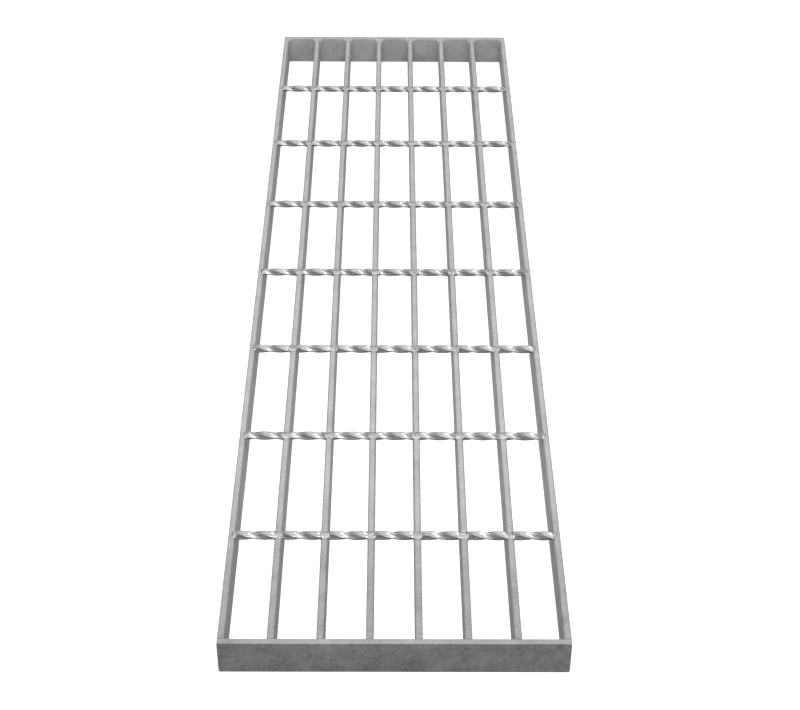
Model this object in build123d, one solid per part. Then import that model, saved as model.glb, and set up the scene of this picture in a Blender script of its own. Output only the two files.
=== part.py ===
from build123d import *
import math
import os

# Steel grating panel for a stair tread or a short walkway, in millimetres.
# X runs across the panel, Y along the bearing bars from the front end to the rear end, Z up.
# The origin is at the middle of the underside.

# Panel
panel_length = 800.0
bar_count = 8
bar_pitch = 30.0

# Bearing bars, flat bars stood on edge, with softened long edges
bar_depth = 25.0
bar_thickness = 4.5
bar_edge_break = 0.9

# End bands, flat bars across both ends of the bearing bars
band_thickness = 4.5
band_corner_cut = 1.2
band_edge_break = 0.5

# Cross rods, square rods twisted cold, with the angle that each rod's square has at the first bar.
# They end inside the outer bars, where the forged end falls nearly to the bar's top.
rod_pitch = 100.0
first_rod_from_front = 95.2
least_gap_behind_last_rod = 50.0
rod_side = 4.3
rod_turn_length = 60.0
rod_start_angles = [5.0, 42.0, 18.0, 64.0, 54.0, 51.0, 52.0]
rod_height_above_bars = 2.4
rod_end_inset = 2.25
facet_rows_per_span = 6

# Forged crossings, where each hot rod is pressed a little over half its depth into the top of every bar
forging_width = 5.6
forging_flattening = 0.4
forging_top_break = 1.2
forging_root_break = 1.7
forged_end_height = 0.7
flash_length = 0.9

# Weld beads in the corners between the bars and the end bands
weld_leg_on_bar = 3.2
weld_leg_on_band = 2.2
weld_bulge = 0.35
weld_length = 11.0
weld_run_out = 3.5
weld_run_out_share = 0.5
front_weld_below_top = 6.0

# Places worked out from the sizes above
panel_width = (bar_count - 1) * bar_pitch + bar_thickness
bar_length = panel_length - 2 * band_thickness
bar_places = [(index - (bar_count - 1) / 2) * bar_pitch for index in range(bar_count)]
rod_reach = rod_side / math.sqrt(2)
rod_half_length = bar_places[-1] + bar_thickness / 2 - rod_end_inset
rod_axis_height = bar_depth + rod_height_above_bars - rod_reach
forging_height = bar_depth + rod_height_above_bars - forging_flattening
rod_count = 1 + int((panel_length - first_rod_from_front - least_gap_behind_last_rod) // rod_pitch)
rod_places = [first_rod_from_front - panel_length / 2 + index * rod_pitch for index in range(rod_count)]


def skin(rings):
    """A closed solid through rings of points, with two flat facets between each pair of neighbours."""
    faces = [Face(Wire.make_polygon(rings[0])), Face(Wire.make_polygon(rings[-1]))]
    for near, far in zip(rings, rings[1:]):
        for index in range(len(near)):
            following = (index + 1) % len(near)
            faces.append(Face(Wire.make_polygon([near[index], near[following], far[index]])))
            faces.append(Face(Wire.make_polygon([near[following], far[following], far[index]])))
    return Solid(Shell(faces)).clean()


def forging_outline(top, top_break):
    """Eight (y, z) points of a crossing, about a rod at y = 0, in order of their angle from +Y to +Z."""
    side = forging_width / 2
    root = rod_axis_height - rod_reach
    return [
        (side, top - top_break),
        (side - top_break, top),
        (top_break - side, top),
        (-side, top - top_break),
        (-side, root + forging_root_break),
        (forging_root_break - side, root),
        (side - forging_root_break, root),
        (side, root + forging_root_break),
    ]


def bearing_bar(bar_x):
    """A flat bar on edge, with a notch in its top edge for each cross rod, as far as the rod reaches."""
    section = chamfer(Rectangle(bar_thickness, bar_depth).vertices(), bar_edge_break)
    bar = Pos(bar_x, 0, bar_depth / 2) * extrude(Plane.XZ * section, bar_length / 2, both=True)
    for rod_y in rod_places:
        points = outline_ring(forging_outline(forging_height, forging_top_break), 0, rod_y, 0)
        bar -= extrude(make_face(Polyline(points, close=True)), rod_half_length, dir=(1, 0, 0), both=True)
    return bar


def outline_ring(outline, x, rod_y, first):
    """The points of a forged outline at one x, in order from the one numbered first."""
    ordered = [outline[(index + first) % len(outline)] for index in range(len(outline))]
    return [Vector(x, rod_y + y, z) for y, z in ordered]


def twist_angle(x, start_angle):
    """The angle about +X, in degrees, to which the square rod has turned at one x."""
    return start_angle + 360 * (x - bar_places[0]) / rod_turn_length


def twisted_ring(x, rod_y, start_angle, lag):
    """The corners and side middles of the twisted square at one x, lag eighths of a turn behind."""
    ring = []
    for eighth in range(-lag, 8 - lag):
        angle = math.radians(twist_angle(x, start_angle) + 45 * eighth)
        reach = rod_side / 2 if eighth % 2 else rod_reach
        ring.append(Vector(x, rod_y + reach * math.cos(angle), rod_axis_height + reach * math.sin(angle)))
    return ring


def nearest_outline_point(angle):
    """The number of the crossing's outline point that lies nearest to an angle."""
    return round((angle - 22.5) / 45)


def rod_rings(rod_y, start_angle):
    """The rings of points along a rod: two at each bar, and the rows of the twisted span after it."""
    half_bar = bar_thickness / 2
    crossing = forging_outline(forging_height, forging_top_break)
    forged_end = forging_outline(bar_depth + forged_end_height, forged_end_height)
    first = 0
    rings = [outline_ring(forged_end, -rod_half_length, rod_y, first)]
    for bar_x, next_bar_x in zip(bar_places, bar_places[1:]):
        if bar_x > bar_places[0]:
            rings.append(outline_ring(crossing, bar_x - half_bar, rod_y, first))
        rings.append(outline_ring(crossing, bar_x + half_bar, rod_y, first))
        span_start = bar_x + half_bar + flash_length
        span_end = next_bar_x - half_bar - flash_length
        lag = nearest_outline_point(twist_angle(span_start, start_angle)) - first
        for row in range(facet_rows_per_span + 1):
            x = span_start + (span_end - span_start) * row / facet_rows_per_span
            rings.append(twisted_ring(x, rod_y, start_angle, lag))
        first = nearest_outline_point(twist_angle(span_end, start_angle)) - lag
    rings.append(outline_ring(crossing, bar_places[-1] - half_bar, rod_y, first))
    rings.append(outline_ring(forged_end, rod_half_length, rod_y, first))
    return rings


def cross_rod(rod_y, start_angle):
    """A twisted square rod, forged to the crossing's outline in every bar, that ends in the outer bars."""
    return skin(rod_rings(rod_y, start_angle))


def end_band(middle_y):
    """A flat bar on edge across the ends of the bearing bars, with its corners and edges dressed."""
    outline = chamfer(Rectangle(panel_width, bar_depth).vertices(), band_corner_cut)
    plate = Pos(0, middle_y, bar_depth / 2) * extrude(Plane.XZ * outline, band_thickness / 2, both=True)
    rims = plate.faces().filter_by(Axis.Y).edges()
    return chamfer(rims, band_edge_break)


def weld_ring(corner_x, corner_y, toward_x, toward_y, z, share):
    """The section of a weld bead at one height: its corner, its two toes and its bulged middle."""
    along_band = toward_x * weld_leg_on_band * share
    along_bar = toward_y * weld_leg_on_bar * share
    bulge = weld_bulge * share
    return [
        Vector(corner_x, corner_y, z),
        Vector(corner_x + along_band, corner_y, z),
        Vector(corner_x + along_band / 2 + toward_x * bulge, corner_y + along_bar / 2 + toward_y * bulge, z),
        Vector(corner_x, corner_y + along_bar, z),
    ]


def weld_bead(corner_x, corner_y, toward_x, toward_y, top):
    """An upright fillet bead in the corner between a bar's side and a band, running out at both ends."""
    bottom = top - weld_length
    stations = [
        (top, weld_run_out_share),
        (top - weld_run_out / 3, 1.0),
        (bottom + weld_run_out, 1.0),
        (bottom, weld_run_out_share),
    ]
    return skin([weld_ring(corner_x, corner_y, toward_x, toward_y, z, share) for z, share in stations])


def bar_welds(bar_x, corner_y, toward_y, top):
    """The beads at one end of a bar, on each of its sides that faces another bar."""
    beads = []
    if bar_x > bar_places[0]:
        beads.append(weld_bead(bar_x - bar_thickness / 2, corner_y, -1, toward_y, top))
    if bar_x < bar_places[-1]:
        beads.append(weld_bead(bar_x + bar_thickness / 2, corner_y, 1, toward_y, top))
    return Compound(children=beads)


parts = {}
for number, bar_x in enumerate(bar_places, 1):
    parts[f"bearing_bar_{number}"] = bearing_bar(bar_x)
    parts[f"rear_weld_{number}"] = bar_welds(bar_x, bar_length / 2, -1, bar_depth)
    parts[f"front_weld_{number}"] = bar_welds(bar_x, -bar_length / 2, 1, bar_depth - front_weld_below_top)
for number, rod_y in enumerate(rod_places, 1):
    start_angle = rod_start_angles[(number - 1) % len(rod_start_angles)]
    parts[f"cross_rod_{number}"] = cross_rod(rod_y, start_angle)
parts["front_end_band"] = end_band((band_thickness - panel_length) / 2)
parts["rear_end_band"] = end_band((panel_length - band_thickness) / 2)

os.makedirs("parts", exist_ok=True)
for name, shape in parts.items():
    export_step(shape, f"parts/{name}.step")
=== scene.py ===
import math

import bmesh
import bpy
from mathutils import Matrix, Vector, noise


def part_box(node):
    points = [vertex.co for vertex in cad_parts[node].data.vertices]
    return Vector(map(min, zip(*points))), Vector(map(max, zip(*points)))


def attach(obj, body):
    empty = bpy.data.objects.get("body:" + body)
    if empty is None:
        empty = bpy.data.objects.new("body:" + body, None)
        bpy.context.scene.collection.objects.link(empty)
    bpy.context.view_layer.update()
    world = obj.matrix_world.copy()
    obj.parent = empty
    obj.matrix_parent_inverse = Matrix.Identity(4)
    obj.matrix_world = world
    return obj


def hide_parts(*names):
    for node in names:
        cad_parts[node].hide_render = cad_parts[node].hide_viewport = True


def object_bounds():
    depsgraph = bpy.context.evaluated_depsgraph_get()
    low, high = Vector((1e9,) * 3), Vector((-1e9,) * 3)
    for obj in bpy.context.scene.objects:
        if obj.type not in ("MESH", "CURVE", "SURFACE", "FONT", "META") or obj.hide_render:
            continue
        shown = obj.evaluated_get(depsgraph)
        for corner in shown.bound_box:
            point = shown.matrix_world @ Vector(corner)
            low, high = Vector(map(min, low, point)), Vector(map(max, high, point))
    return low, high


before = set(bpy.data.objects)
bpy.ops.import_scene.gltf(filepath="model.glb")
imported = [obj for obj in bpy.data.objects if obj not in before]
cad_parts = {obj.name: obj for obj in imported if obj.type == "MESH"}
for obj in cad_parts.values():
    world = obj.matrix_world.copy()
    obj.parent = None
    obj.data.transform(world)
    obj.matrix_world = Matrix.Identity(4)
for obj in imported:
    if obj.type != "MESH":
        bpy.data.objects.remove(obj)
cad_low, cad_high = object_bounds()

# A galvanised steel grating: every CAD piece is replaced by one with its finished surface.
# The axes are the frame's: X across the panel, Y along the bars from the front end to the rear, Z up.
MM = 0.001

# Camera, solved from the edges of the panel in the photograph, with its angles in degrees
CAMERA_PLACE = Vector((-2.5, -1107.3, 781.6)) * MM
CAMERA_PITCH = 37.268
CAMERA_YAW = -0.379
CAMERA_ROLL = 0.395
CAMERA_LENS = 76.41
CAMERA_SENSOR = 36
CAMERA_NEAR = 0.05
CAMERA_FAR = 50

# Light: the even sky, and the place, target, size and power of each lamp
SKY = 0.57
KEY_LAMP = ((0, -0.8, 1.0), (0, 0, 0), (0.7, 0.5), 6)
OVERHEAD_LAMP = ((0, 0.3, 1.1), (0, 0.2, 0), (2.0, 1.2), 4.5)

# Floor: its matt grey, how white it is where it is seen and where metal mirrors it, how far it goes to each
# side, and how little it lies under the panel
FLOOR_GREY = 0.6
FLOOR_SEEN = 0.85
FLOOR_MIRRORED = 0.12
FLOOR_REACH = 12
FLOOR_GAP = 0.1 * MM

# Zinc: the size and the detail of each of its patterns, how strongly they show in its colour, roughness and
# relief, and how much darker it is where its level of painted shade and dark lines is 1
CLOUDS = (16 * MM, 3.0)
WAVES = (5 * MM, 2.0)
SPECKS = (1.4 * MM, 4.0)
PITS = (1.1 * MM, 1.0)
CRYSTAL_SIZE = 3.2 * MM
CRYSTAL_TINT = 0.04
CRYSTAL_ROUGHNESS = 0.08
SPECK_ROUGHNESS = -0.25
WAVE_RELIEF = 2.5
PAINTED_SHADE_AND_LINE_TINT = -0.15

# Forged zinc, at the crossings: how much paler it is, its share of metal and its roughness, how many times
# the relief is added to it again, and its dark pits
FORGED_TINT = 0.02
FORGED_METALLIC = 0.6
FORGED_ROUGHNESS = 0.32
FORGED_RELIEF = 3.5
PIT_LEVEL = 0.13
PIT_TINT = -0.28

# Meshes: steps of a rounded corner, the places of further points on a section's top and sides as shares of
# them, and the angle in degrees from which an edge is sharp
CORNER_STEPS = 4
TOP_SHARES = (0.25, 0.5, 0.75)
SIDE_SHARES = (0.12, 0.3, 0.6)
SHARP_ANGLE = 50

# Crossings of rods and bars: half the width along the bar, the rise of the low dome above the bar's top,
# the depth below the rod's middle, how square the outline is, the lumps of each rod in millimetres and how
# far they are set in, where a rod turns from forged to twisted, and the flash beside each bar
FORGING_HALF = 3.5 * MM
FORGING_RISE = 1.2 * MM
FORGING_DEPTH = 2.9 * MM
FORGING_POWER = 2.3
FORGING_LUMPS = (0.55, 0.42, 0.52, 0.38, 0.38, 0.36, 0.34)
FORGING_SET_IN = 0.3
FORGING_FADE = (0.2 * MM, 1.2 * MM)
LUMP_SIZE = 1.3 * MM
FLASH = 0.15 * MM
FLASH_PLACE = 0.45 * MM
FLASH_LEAST = 0.4
FLASH_LUMP = 1.2

# Bearing bars: rounding of the long edges, space between the rings, how far each bar bows to the right at
# its middle in millimetres, wear of the surface, and the painted shade that darkens the bars near the
# front end
BAR_EDGE = 1.0 * MM
BAR_STEP = 4.0 * MM
BAR_BOWS = (0.0, 0.6, -0.4, -0.3, 0.45, 0.3, 0.2, -0.3)
BAR_WEAR = 0.06 * MM
BAR_WEAR_SIZE = 9 * MM
BAR_PAINTED_SHADE = 0.9
BAR_PAINTED_SHADE_REACH = (0, 180 * MM)

# Notches: half the width, the rings outward from each wall in millimetres, the space before a plain ring,
# how far within the wall a ring is in the notch, and how far short of the rod's end the notch stops
NOTCH_HALF = FORGING_HALF / 2
NOTCH_STEPS = (-0.05, 0, 0.4, 0.7, 1.0, 1.3, 1.6, 1.9, 2.4, 3.2, 4.0)
NOTCH_SPACE = 4.5 * MM
NOTCH_WITHIN = 0.02 * MM
NOTCH_SHORT = 0.3 * MM

# Bars beside a rod: the metal upset to the sides and upward, and the crease, which is deeper behind the rod
UPSET = 0.2 * MM
UPSET_REACH = 4 * MM
UPSET_DEPTHS = (2 * MM, 9 * MM)
UPSET_RISE = 0.5
UPSET_LUMP = 2
CREASE = 0.7 * MM
CREASE_WIDTH = 0.5 * MM
CREASE_IN_FRONT = 0.3
CREASE_LUMP = 1.2

# Levels of a bar: the forged look, painted shade near a rod and painted shade on each rounded top edge.
# Each pair holds two distances, up to which a level is full and from which it is nothing.
FORGED_DEPTHS = (1 * MM, 3 * MM)
FORGED_REACH = (2 * MM, 6 * MM)
SHADE_DEPTHS = (3.5 * MM, 9 * MM)
SHADE_REACH = 3.5 * MM
RIM_INSET = 0.8 * BAR_EDGE
RIM_DEPTH = 0.99 * BAR_EDGE

# End bands: rounding of the corners and of the long edges, the places of the rings near an end in
# millimetres, the dents of the faces, and the painted shade on the front band's faces and painted light on
# the rear band's
BAND_CORNER = 1.3 * MM
BAND_EDGE = 0.6 * MM
BAND_STEP = 1.5 * MM
BAND_ENDS = (0.0, 0.1, 0.3, 0.6, 0.95, 1.3)
BAND_DENT = 0.08 * MM
BAND_DENT_SIZE = 14 * MM
BAND_DENT_SEED = 3.0
BAND_FACE = 0.2 * MM
FRONT_BAND_PAINTED_SHADE = 1.12
REAR_BAND_PAINTED_LIGHT = -0.35

# Cross rods: the twisted square with rounded corners and hollow sides, the dark line along its corners, the
# wander of the twist in degrees, and the angle of a corner at the first bar on each rod from the front
ROD_SIDE = 4.55 * MM
ROD_CORNER = 0.5 * MM
ROD_HOLLOW = 0.2 * MM
ROD_LUMP = 0.07 * MM
ROD_LUMP_SEED = 10.0
ROD_LINE = 1.3
ROD_LINE_WIDTH = 0.06
ROD_TURN = 60.0 * MM
ROD_WANDER = 6
ROD_WANDER_SIZE = 45 * MM
ROD_STARTS = (7.5, 44.5, 21.0, 66.5, 57.0, 54.0, 55.0)
ROD_STEP = 0.55 * MM
ROD_POINTS = 48

# Ends of the rods: the length in which the dome falls, the share of it that is left at the end, and the
# share of its width that doesn't fall with it
ROD_END = 2.25 * MM
ROD_END_DOME = 0.1
ROD_END_WIDTH = 0.6

# Weld beads: legs along the band and along the bar, the middle's distance from the corner's sides, the form
# of the outline, the rounding of the ends, and the least width for which a CAD bead is there at all
WELD_LEGS = (2.2 * MM, 3.2 * MM)
WELD_MIDDLE = 0.25 * MM
WELD_POWER = 1.6
WELD_LUMP = 0.1
WELD_SEED = 900
WELD_TIP = 0.02
WELD_ROUND = 5
WELD_LEAST = 0.5 * MM
WELD_POINTS = 20
WELD_STATIONS = 26
REAR_WELD_PROUD = 0.2 * MM


def fade(distance, span):
    """A smooth fall from 1 to 0 between the two distances of a span."""
    start, end = span
    share = min(1.0, max(0.0, (end - distance) / (end - start)))
    return share * share * (3 - 2 * share)


def bell(distance, width):
    """A bell curve, which is 1 where the distance is nothing."""
    return math.exp(-(distance / width) ** 2)


def ripple(x, y, z, size, seed):
    """Noise between about -1 and 1, with bumps of one size, at a place in the frame."""
    return noise.noise(Vector((x / size + seed, y / size, z / size)))


def round_reach(across, up, power):
    """How far an outline between a diamond and a square reaches, in the direction of (across, up)."""
    return (abs(across) ** power + abs(up) ** power) ** (-1 / power)


def ring_mesh(name, rings, forged=None, painted_shade_and_lines=None):
    """A closed piece through rings of points, smooth but for sharp edges, with its levels at each point."""
    count = len(rings[0])
    points = [point for ring in rings for point in ring]
    faces = [tuple(range(count)), tuple(range(len(points) - count, len(points)))]
    for row in range(len(rings) - 1):
        for column in range(count):
            here = row * count + column
            beside = row * count + (column + 1) % count
            faces.append((here, beside, beside + count, here + count))
    mesh = bpy.data.meshes.new(name)
    mesh.from_pydata(points, [], faces)
    shape = bmesh.new()
    shape.from_mesh(mesh)
    bmesh.ops.recalc_face_normals(shape, faces=shape.faces)
    for face in shape.faces:
        face.smooth = True
    shape.to_mesh(mesh)
    shape.free()
    mesh.set_sharp_from_angle(angle=math.radians(SHARP_ANGLE))
    for attribute, levels in (("forged", forged), ("painted_shade_and_lines", painted_shade_and_lines)):
        if levels:
            mesh.attributes.new(attribute, "FLOAT", "POINT").data.foreach_set("value", levels)
    piece = bpy.data.objects.new(name, mesh)
    bpy.context.scene.collection.objects.link(piece)
    return piece


def dress(piece, node, slot, coat=None):
    """Puts a piece in place of a CAD node, with the zinc coat of its slot or one of its own."""
    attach(piece, "root")
    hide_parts(node)
    piece.data.materials.append(MATERIALS[coat or slot])


def middles(prefix, axis):
    """The middles of the CAD nodes with one kind of name along one axis, in order."""
    boxes = [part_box(node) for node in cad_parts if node.startswith(prefix)]
    return sorted((low[axis] + high[axis]) / 2 for low, high in boxes)


def rounded_corner(middle, radius, start):
    """The (across, up) points of a quarter circle, from one angle in degrees."""
    angles = [math.radians(start + 90 * step / CORNER_STEPS) for step in range(CORNER_STEPS + 1)]
    return [(middle[0] + radius * math.cos(a), middle[1] + radius * math.sin(a)) for a in angles]


def rounded_section(low, high, radius):
    """The (across, up) points of a box with rounded corners, and some more on its top and sides."""
    left, right = low[0] + radius, high[0] - radius
    bottom, top = low[1] + radius, high[1] - radius
    side_levels = [top + (bottom - top) * share for share in SIDE_SHARES]
    section = rounded_corner((right, top), radius, 0)
    section += [(right + (left - right) * share, high[1]) for share in TOP_SHARES]
    section += rounded_corner((left, top), radius, 90)
    section += [(low[0], level) for level in side_levels]
    section += rounded_corner((left, bottom), radius, 180)
    section += rounded_corner((right, bottom), radius, 270)
    section += [(high[0], level) for level in reversed(side_levels)]
    return section


def bar_stations(low, high, rods):
    """The places along a bar that get a ring, with a close pair at each wall of each notch."""
    steps = round((high - low) / BAR_STEP)
    places = [low + (high - low) * step / steps for step in range(steps + 1)]
    places = [y for y in places if min(abs(y - rod) for rod in rods) > NOTCH_HALF + NOTCH_SPACE]
    for rod in rods:
        for side in (-1, 1):
            places += [rod + side * (NOTCH_HALF + reach * MM) for reach in NOTCH_STEPS]
    return sorted(places)


def bar_levels(x, z, low, high, near, painted_shading, under_rod):
    """The forged and painted-shade levels of a bar at one point; near is how near a rod's middle is."""
    depth = high.z - z
    forged = fade(depth, FORGED_DEPTHS) * fade(near, FORGED_REACH) * under_rod
    # Painted shade on the bar's sides just under a rod
    shade = fade(depth, SHADE_DEPTHS) * bell(near, SHADE_REACH) * under_rod
    # Painted shade on each rounded top edge; elsewhere the larger of the other two painted shades
    on_top_edge = min(x - low.x, high.x - x) < RIM_INSET and depth < RIM_DEPTH
    painted_shade_and_lines = 1.0 if on_top_edge else max(painted_shading, shade)
    return forged, painted_shade_and_lines


def top_change(x, y, z, number, near, behind, upset):
    """How far the top of a bar rises beside a rod at one point, or falls in the crease along the rod."""
    lump = ripple(x, y, z, LUMP_SIZE, number)
    rise = UPSET_RISE * upset * (1 + UPSET_LUMP * lump)
    crease = CREASE * (1.0 if behind else CREASE_IN_FRONT) * (1 + CREASE_LUMP * lump)
    return rise - crease * bell(near - FORGING_HALF, CREASE_WIDTH)


def build_bar(number, rods):
    """A bearing bar with rounded edges, a slight bow and a notch for each rod, in place of the CAD bar."""
    node = f"bearing_bar_{number}"
    low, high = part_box(node)
    rod_low, rod_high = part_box("cross_rod_1")
    inner_bar = 1 < number < len(BAR_BOWS)
    rings = []
    forged = []
    painted_shade_and_lines = []
    for y in bar_stations(low.y, high.y, rods):
        nearest = min(rods, key=lambda rod: abs(y - rod))
        near = abs(y - nearest)
        notched = near < NOTCH_HALF - NOTCH_WITHIN
        # Painted shade: the bar is drawn darker towards its front end
        painted_shading = BAR_PAINTED_SHADE * fade(y - low.y, BAR_PAINTED_SHADE_REACH)
        bow = BAR_BOWS[number - 1] * MM * math.sin(math.pi * (y - low.y) / (high.y - low.y)) ** 2
        upset = UPSET * bell(near, UPSET_REACH)
        ring = []
        for x, z in rounded_section((low.x, low.z), (high.x, high.z), BAR_EDGE):
            levels = bar_levels(x, z, low, high, near, painted_shading, rod_low.x <= x <= rod_high.x)
            forged.append(levels[0])
            painted_shade_and_lines.append(levels[1])
            if notched and abs(x) < rod_high.x - NOTCH_SHORT:
                ring.append((x + bow, y, min(z, rod_low.z)))
                continue
            side = 1 if x > (low.x + high.x) / 2 else -1
            wear = BAR_WEAR * abs(ripple(x, y, z, BAR_WEAR_SIZE, number))
            if inner_bar:
                x += side * upset * fade(high.z - z, UPSET_DEPTHS)
            if z > high.z - BAR_EDGE:
                z += top_change(x, y, z, number, near, y > nearest, upset) - wear
            ring.append((x + bow - side * wear, y, z))
        rings.append(ring)
    dress(ring_mesh(f"rounded_bar_{number}", rings, forged, painted_shade_and_lines), node, "galvanised_bar")


def corner_inset(distance, radius):
    """How far a rounded corner has drawn in at a distance from the end."""
    short = max(0.0, radius - distance)
    return radius - math.sqrt(radius ** 2 - short ** 2)


def build_band(node, name, coat, painted_shading):
    """An end band with rounded corners and edges and a faintly uneven surface, in place of the CAD band."""
    low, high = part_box(node)
    steps = round((high.x - low.x) / BAND_STEP)
    places = [low.x + end * MM for end in BAND_ENDS]
    places += [low.x + (high.x - low.x) * step / steps for step in range(2, steps - 1)]
    places += [high.x - end * MM for end in reversed(BAND_ENDS)]
    rings = []
    painted_shade_and_lines = []
    for x in places:
        end = min(x - low.x, high.x - x)
        cut = corner_inset(end, BAND_CORNER)
        slim = corner_inset(end, BAND_EDGE)
        section = rounded_section((low.y + slim, low.z + cut), (high.y - slim, high.z - cut), BAND_EDGE)
        ring = []
        for y, z in section:
            side = 1 if y > (low.y + high.y) / 2 else -1
            dent = BAND_DENT * abs(ripple(x, y, z, BAND_DENT_SIZE, BAND_DENT_SEED))
            ring.append((x, y - side * dent, z))
            # Painted shade on the faces where the level is above 0, painted light where it is below
            painted_shade_and_lines.append(painted_shading if min(y - low.y, high.y - y) < BAND_FACE else 0.0)
        rings.append(ring)
    dress(ring_mesh(name, rings, painted_shade_and_lines=painted_shade_and_lines), node, "galvanised_band", coat)


def square_reach(angle):
    """How far the twisted square reaches from its middle, at an angle from the middle of a side."""
    half = ROD_SIDE / 2
    off = abs((angle + math.pi / 4) % (math.pi / 2) - math.pi / 4)
    if half * math.tan(off) <= half - ROD_CORNER:
        return half / math.cos(off) - ROD_HOLLOW * math.cos(2 * off) ** 2
    centre = math.sqrt(2) * (half - ROD_CORNER)
    lean = math.pi / 4 - off
    return centre * math.cos(lean) + math.sqrt(ROD_CORNER ** 2 - (centre * math.sin(lean)) ** 2)


def forging_reach(angle, bar_top, dome):
    """How far a crossing reaches from the rod's middle, at an angle from +Y; dome is 1 but at an end."""
    half = FORGING_HALF * (ROD_END_WIDTH + (1 - ROD_END_WIDTH) * dome)
    rise = FORGING_RISE * dome
    across, up = math.cos(angle), math.sin(angle)
    reach = round_reach(across / half, up / FORGING_DEPTH, FORGING_POWER)
    if up <= 0:
        return reach
    curve = max(1e-6, rise * (across / half) ** 2)
    crown = (math.sqrt(up ** 2 + 4 * curve * (bar_top + rise)) - up) / (2 * curve)
    return min(reach, crown)


def corner_line(index, forged):
    """A ring point's level in the painted shade and lines: a dark line along each corner of the twisted
    square.
    """
    off_corner = 4 * index / ROD_POINTS % 1 - 0.5
    return ROD_LINE * bell(off_corner, ROD_LINE_WIDTH) * (1 - forged)


def rod_ring(x, axis, bar_top, turn, forged, flash, dome, number):
    """The points of a rod's section at one x, between the twisted square and the forged outline."""
    rod_y, axis_z = axis
    rough = FORGING_LUMPS[number - 1] * MM * forged
    ring = []
    for index in range(ROD_POINTS):
        angle = turn + 2 * math.pi * index / ROD_POINTS
        plain = square_reach(angle - turn)
        length = plain + (forging_reach(angle, bar_top - axis_z, dome) - plain) * forged
        y, z = math.cos(angle), math.sin(angle)
        lump = ripple(x, rod_y + y * length, z * length, LUMP_SIZE, ROD_LUMP_SEED * number)
        length += lump * (ROD_LUMP + rough) - FORGING_SET_IN * rough
        length += flash * (FLASH_LEAST + FLASH_LUMP * lump) * max(0.0, z)
        ring.append((x, rod_y + y * length, min(axis_z + z * length, cad_high.z)))
    return ring


def build_rod(number, bars):
    """A twisted cross rod with its forged crossings, in place of the CAD rod."""
    node = f"cross_rod_{number}"
    low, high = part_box(node)
    bar_low, bar_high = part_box("bearing_bar_1")
    half_bar = (bar_high.x - bar_low.x) / 2
    axis = ((low.y + high.y) / 2, (low.z + high.z) / 2)
    steps = round((high.x - low.x) / ROD_STEP)
    rings = []
    forged = []
    painted_shade_and_lines = []
    for step in range(steps + 1):
        x = low.x + (high.x - low.x) * step / steps
        gap = min(abs(x - bar) for bar in bars) - half_bar
        share = fade(gap, FORGING_FADE)
        flash = FLASH * bell(gap - FLASH_PLACE, FLASH_PLACE)
        short = max(0.0, 1 - min(x - low.x, high.x - x) / ROD_END)
        dome = ROD_END_DOME + (1 - ROD_END_DOME) * math.sqrt(1 - short ** 2)
        wander = ROD_WANDER * ripple(x, axis[0], 0, ROD_WANDER_SIZE, number)
        corner = ROD_STARTS[number - 1] + wander + 360 * (x - bars[0]) / ROD_TURN
        # The turn is that of a side's middle, which is half a right angle on from the corner
        turn = math.radians(corner + 45)
        rings.append(rod_ring(x, axis, bar_high.z, turn, share, flash, dome, number))
        forged += [share] * ROD_POINTS
        painted_shade_and_lines += [corner_line(index, share) for index in range(ROD_POINTS)]
    dress(ring_mesh(f"twisted_rod_{number}", rings, forged, painted_shade_and_lines), node, "galvanised_rod")


def weld_ring(corner, toward, z, share, seed):
    """The points of a weld bead's section at one height, around the corner that it fills."""
    ring = []
    for index in range(WELD_POINTS):
        angle = 2 * math.pi * index / WELD_POINTS
        across, along = math.cos(angle), math.sin(angle)
        lump = ripple(across, along, z / LUMP_SIZE, 1.0, seed)
        reach = round_reach(across, along, WELD_POWER) * share * (1 + WELD_LUMP * lump)
        x = corner[0] + toward[0] * (WELD_MIDDLE + across * reach * (WELD_LEGS[0] - WELD_MIDDLE))
        y = corner[1] + toward[1] * (WELD_MIDDLE + along * reach * (WELD_LEGS[1] - WELD_MIDDLE))
        ring.append((x, y, z))
    return ring


def build_welds(node, name, bar_box, toward_y, top):
    """The rounded beads at one end of a bar, on each side that has one, in place of the CAD beads."""
    low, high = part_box(node)
    bar_low, bar_high = bar_box
    corner_y = high.y if toward_y < 0 else low.y
    sides = []
    if bar_low.x - low.x > WELD_LEAST:
        sides.append(("left", -1, bar_low.x))
    if high.x - bar_high.x > WELD_LEAST:
        sides.append(("right", 1, bar_high.x))
    for side, toward_x, corner_x in sides:
        seed = corner_x * WELD_SEED
        rings = []
        for step in range(WELD_STATIONS):
            travel = step / (WELD_STATIONS - 1)
            share = math.sqrt(max(WELD_TIP, 1 - abs(2 * travel - 1) ** WELD_ROUND))
            z = low.z + (top - low.z) * travel
            rings.append(weld_ring((corner_x, corner_y), (toward_x, toward_y), z, share, seed))
        dress(ring_mesh(f"{name}_{side}", rings), node, "weld_bead")


def math_node(tree, operation, first, second):
    """The result of one operation on two sockets or numbers."""
    node = tree.nodes.new("ShaderNodeMath")
    node.operation = operation
    for socket, value in zip(node.inputs, (first, second)):
        if isinstance(value, (int, float)):
            socket.default_value = value
        else:
            tree.links.new(value, socket)
    return node.outputs[0]


def weighted(tree, base, *terms):
    """A base and the sum of its terms, each of which is a socket and the factor that it counts with."""
    total = base
    for socket, factor in terms:
        total = math_node(tree, "ADD", total, math_node(tree, "MULTIPLY", socket, factor))
    return total


def noise_node(tree, place, size, detail):
    """Noise about 0, from -0.5 to 0.5, with patches of one size."""
    node = tree.nodes.new("ShaderNodeTexNoise")
    node.inputs["Scale"].default_value = 1 / size
    node.inputs["Detail"].default_value = detail
    tree.links.new(place, node.inputs["Vector"])
    return math_node(tree, "SUBTRACT", node.outputs["Fac"], 0.5)


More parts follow.
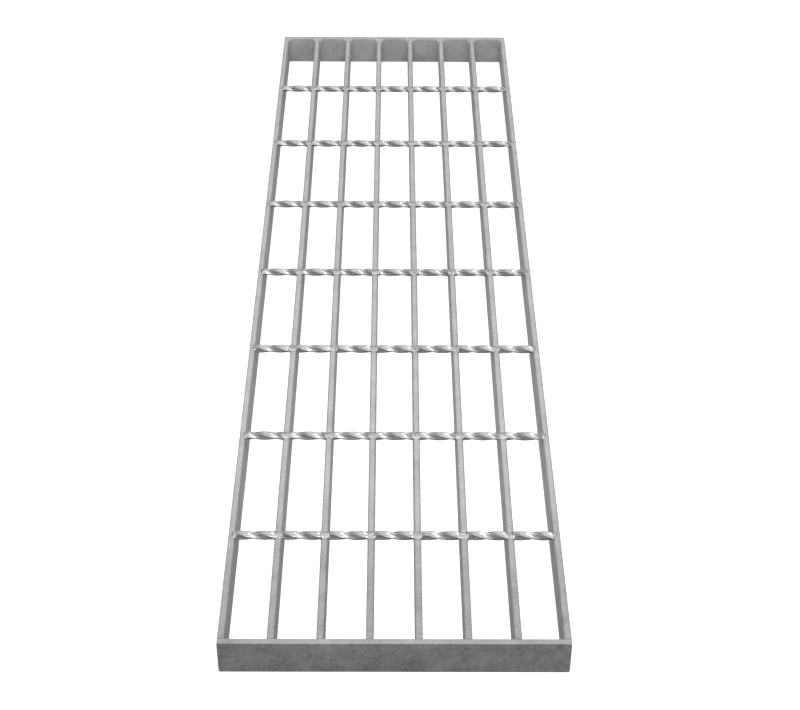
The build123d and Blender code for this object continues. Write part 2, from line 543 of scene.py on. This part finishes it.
def spangle_node(tree, place, size):
    """A level for each zinc crystal, about 0 and from -0.5 to 0.5."""
    node = tree.nodes.new("ShaderNodeTexVoronoi")
    node.inputs["Scale"].default_value = 1 / size
    tree.links.new(place, node.inputs["Vector"])
    split = tree.nodes.new("ShaderNodeSeparateColor")
    tree.links.new(node.outputs["Color"], split.inputs[0])
    return math_node(tree, "SUBTRACT", split.outputs[0], 0.5)


def level_node(tree, attribute):
    """A level that the mesh holds at each of its points."""
    node = tree.nodes.new("ShaderNodeAttribute")
    node.attribute_name = attribute
    return node.outputs["Fac"]


def galvanised(name, tone, metallic, roughness, cloud, grain, relief, edge=1.0, crossings=False):
    """Hot-dip zinc: clouds, faint spangle, grain, painted shade and dark lines in its colour; a shallow
    uneven relief.
    """
    material = bpy.data.materials.new(name)
    material.use_nodes = True
    tree = material.node_tree
    shader = tree.nodes["Principled BSDF"]
    shader.inputs["Metallic"].default_value = metallic
    shader.inputs["Specular Tint"].default_value = (edge, edge, edge, 1)
    bump = tree.nodes.new("ShaderNodeBump")
    bump.inputs["Distance"].default_value = relief
    place = tree.nodes.new("ShaderNodeTexCoord").outputs["Object"]
    clouds = noise_node(tree, place, *CLOUDS)
    waves = noise_node(tree, place, *WAVES)
    specks = noise_node(tree, place, *SPECKS)
    crystals = spangle_node(tree, place, CRYSTAL_SIZE)
    colour = weighted(tree, tone, (clouds, cloud), (specks, grain), (crystals, CRYSTAL_TINT))
    # Painted shade from the mesh: darker where the level is above 0, painted light where it is below, and
    # dark lines along the rods' corners
    colour = weighted(tree, colour, (level_node(tree, "painted_shade_and_lines"), PAINTED_SHADE_AND_LINE_TINT))
    sheen = weighted(tree, roughness, (specks, SPECK_ROUGHNESS), (crystals, CRYSTAL_ROUGHNESS))
    if crossings:
        forged = level_node(tree, "forged")
        pits = math_node(tree, "GREATER_THAN", noise_node(tree, place, *PITS), PIT_LEVEL)
        forged_pits = math_node(tree, "MULTIPLY", pits, forged)
        colour = weighted(tree, colour, (forged, FORGED_TINT), (forged_pits, PIT_TINT))
        sheen = weighted(tree, sheen, (forged, FORGED_ROUGHNESS - roughness))
        metal = weighted(tree, metallic, (forged, FORGED_METALLIC - metallic))
        depth = weighted(tree, relief, (forged, FORGED_RELIEF * relief))
        tree.links.new(metal, shader.inputs["Metallic"])
        tree.links.new(depth, bump.inputs["Distance"])
    tree.links.new(colour, shader.inputs["Base Color"])
    tree.links.new(sheen, shader.inputs["Roughness"])
    tree.links.new(weighted(tree, specks, (waves, WAVE_RELIEF)), bump.inputs["Height"])
    tree.links.new(bump.outputs[0], shader.inputs["Normal"])
    return material


def add_camera():
    """The camera at the photograph's place, looking down along the panel."""
    pitch, yaw, roll = (math.radians(angle) for angle in (CAMERA_PITCH, CAMERA_YAW, CAMERA_ROLL))
    right = Vector((math.cos(yaw), math.sin(yaw), 0))
    ahead = Vector((-math.sin(yaw), math.cos(yaw), 0))
    forward = math.cos(pitch) * ahead - math.sin(pitch) * Vector((0, 0, 1))
    up = right.cross(forward)
    image_right = math.cos(roll) * right + math.sin(roll) * up
    image_up = math.cos(roll) * up - math.sin(roll) * right
    rotation = Matrix((image_right, image_up, -forward)).transposed().to_4x4()
    data = bpy.data.cameras.new("camera")
    data.lens = CAMERA_LENS
    data.sensor_width = CAMERA_SENSOR
    data.clip_start = CAMERA_NEAR
    data.clip_end = CAMERA_FAR
    camera = bpy.data.objects.new("camera", data)
    camera.matrix_world = Matrix.Translation(CAMERA_PLACE) @ rotation
    bpy.context.scene.collection.objects.link(camera)
    bpy.context.scene.camera = camera


def add_lamp(name, place, target, size, power):
    """A rectangular area lamp that faces a target."""
    data = bpy.data.lights.new(name, "AREA")
    data.shape = "RECTANGLE"
    data.size, data.size_y = size
    data.energy = power
    lamp = bpy.data.objects.new(name, data)
    lamp.location = place
    lamp.rotation_euler = (Vector(target) - Vector(place)).to_track_quat("-Z", "Y").to_euler()
    bpy.context.scene.collection.objects.link(lamp)


def seen_share(tree, direct, mirrored):
    """A level for camera rays, and one for glossy and transmission rays, which show the background too."""
    path = tree.nodes.new("ShaderNodeLightPath")
    through = math_node(tree, "ADD", path.outputs["Is Glossy Ray"], path.outputs["Is Transmission Ray"])
    return weighted(tree, 0.0, (path.outputs["Is Camera Ray"], direct), (through, mirrored))


def set_world():
    """A white backdrop for the rays that show it, and a soft even sky for the light."""
    world = bpy.data.worlds.new("studio")
    bpy.context.scene.world = world
    world.use_nodes = True
    tree = world.node_tree
    tree.nodes.clear()
    out = tree.nodes.new("ShaderNodeOutputWorld")
    sky = tree.nodes.new("ShaderNodeBackground")
    sky.inputs["Strength"].default_value = SKY
    white = tree.nodes.new("ShaderNodeBackground")
    white.inputs["Strength"].default_value = 1.0
    for background in (sky, white):
        background.inputs["Color"].default_value = (1, 1, 1, 1)
    mix = tree.nodes.new("ShaderNodeMixShader")
    tree.links.new(seen_share(tree, 1.0, 1.0), mix.inputs[0])
    tree.links.new(sky.outputs[0], mix.inputs[1])
    tree.links.new(white.outputs[0], mix.inputs[2])
    tree.links.new(mix.outputs[0], out.inputs["Surface"])


def floor_material():
    """Matt grey for the light and the shadow, and nearly white for the rays that show the floor."""
    material = bpy.data.materials.new("floor")
    material.use_nodes = True
    tree = material.node_tree
    tree.nodes.clear()
    out = tree.nodes.new("ShaderNodeOutputMaterial")
    matt = tree.nodes.new("ShaderNodeBsdfDiffuse")
    matt.inputs["Color"].default_value = (FLOOR_GREY, FLOOR_GREY, FLOOR_GREY, 1)
    white = tree.nodes.new("ShaderNodeEmission")
    tree.links.new(seen_share(tree, FLOOR_SEEN, FLOOR_MIRRORED), white.inputs["Strength"])
    both = tree.nodes.new("ShaderNodeAddShader")
    tree.links.new(matt.outputs[0], both.inputs[0])
    tree.links.new(white.outputs[0], both.inputs[1])
    tree.links.new(both.outputs[0], out.inputs["Surface"])
    return material


def add_floor():
    """A plain floor under the panel, which keeps its shadow."""
    far = FLOOR_REACH
    mesh = bpy.data.meshes.new("floor")
    mesh.from_pydata([(-far, -far, 0), (far, -far, 0), (far, far, 0), (-far, far, 0)], [], [(0, 1, 2, 3)])
    mesh.materials.append(floor_material())
    floor = bpy.data.objects.new("floor", mesh)
    floor.location.z = cad_low.z - FLOOR_GAP
    bpy.context.scene.collection.objects.link(floor)


# Zinc coats: tone, share of metal, roughness, strength of the clouds and of the specks, depth of the relief,
# and for bars and rods the tint of the shine at grazing angles and that they have crossings
COATS = {
    "galvanised_bar": (0.46, 0.08, 0.55, 0.22, 0.26, 0.07 * MM, 1.0, True),
    # The front band's tone, lower than the bars', is painted shade on the same zinc
    "galvanised_band": (0.335, 0.08, 0.5, 0.2, 0.16, 0.07 * MM),
    "galvanised_rod": (0.395, 0.8, 0.34, 0.12, 0.2, 0.09 * MM, 0.2, True),
    # The rear band's tone, higher than the front band's, is painted light on the same zinc
    "rear_band": (0.42, 0.08, 0.5, 0.25, 0.26, 0.07 * MM),
    "weld_bead": (0.52, 0.2, 0.32, 0.10, 0.2, 0.10 * MM),
}
MATERIALS = {name: galvanised(name, *coat) for name, coat in COATS.items()}

bars = middles("bearing_bar", 0)
rods = middles("cross_rod", 1)
for number in range(1, len(bars) + 1):
    build_bar(number, rods)
    bar_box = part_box(f"bearing_bar_{number}")
    front_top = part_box(f"front_weld_{number}")[1].z
    rear_top = bar_box[1].z + REAR_WELD_PROUD
    build_welds(f"front_weld_{number}", f"front_bead_{number}", bar_box, 1, front_top)
    build_welds(f"rear_weld_{number}", f"rear_bead_{number}", bar_box, -1, rear_top)
for number in range(1, len(rods) + 1):
    build_rod(number, bars)
build_band("front_end_band", "front_band", "galvanised_band", FRONT_BAND_PAINTED_SHADE)
build_band("rear_end_band", "rear_band", "rear_band", REAR_BAND_PAINTED_LIGHT)

add_camera()
set_world()
add_floor()
add_lamp("key", *KEY_LAMP)
add_lamp("overhead", *OVERHEAD_LAMP)

scene = bpy.context.scene
scene.view_settings.view_transform = "Standard"
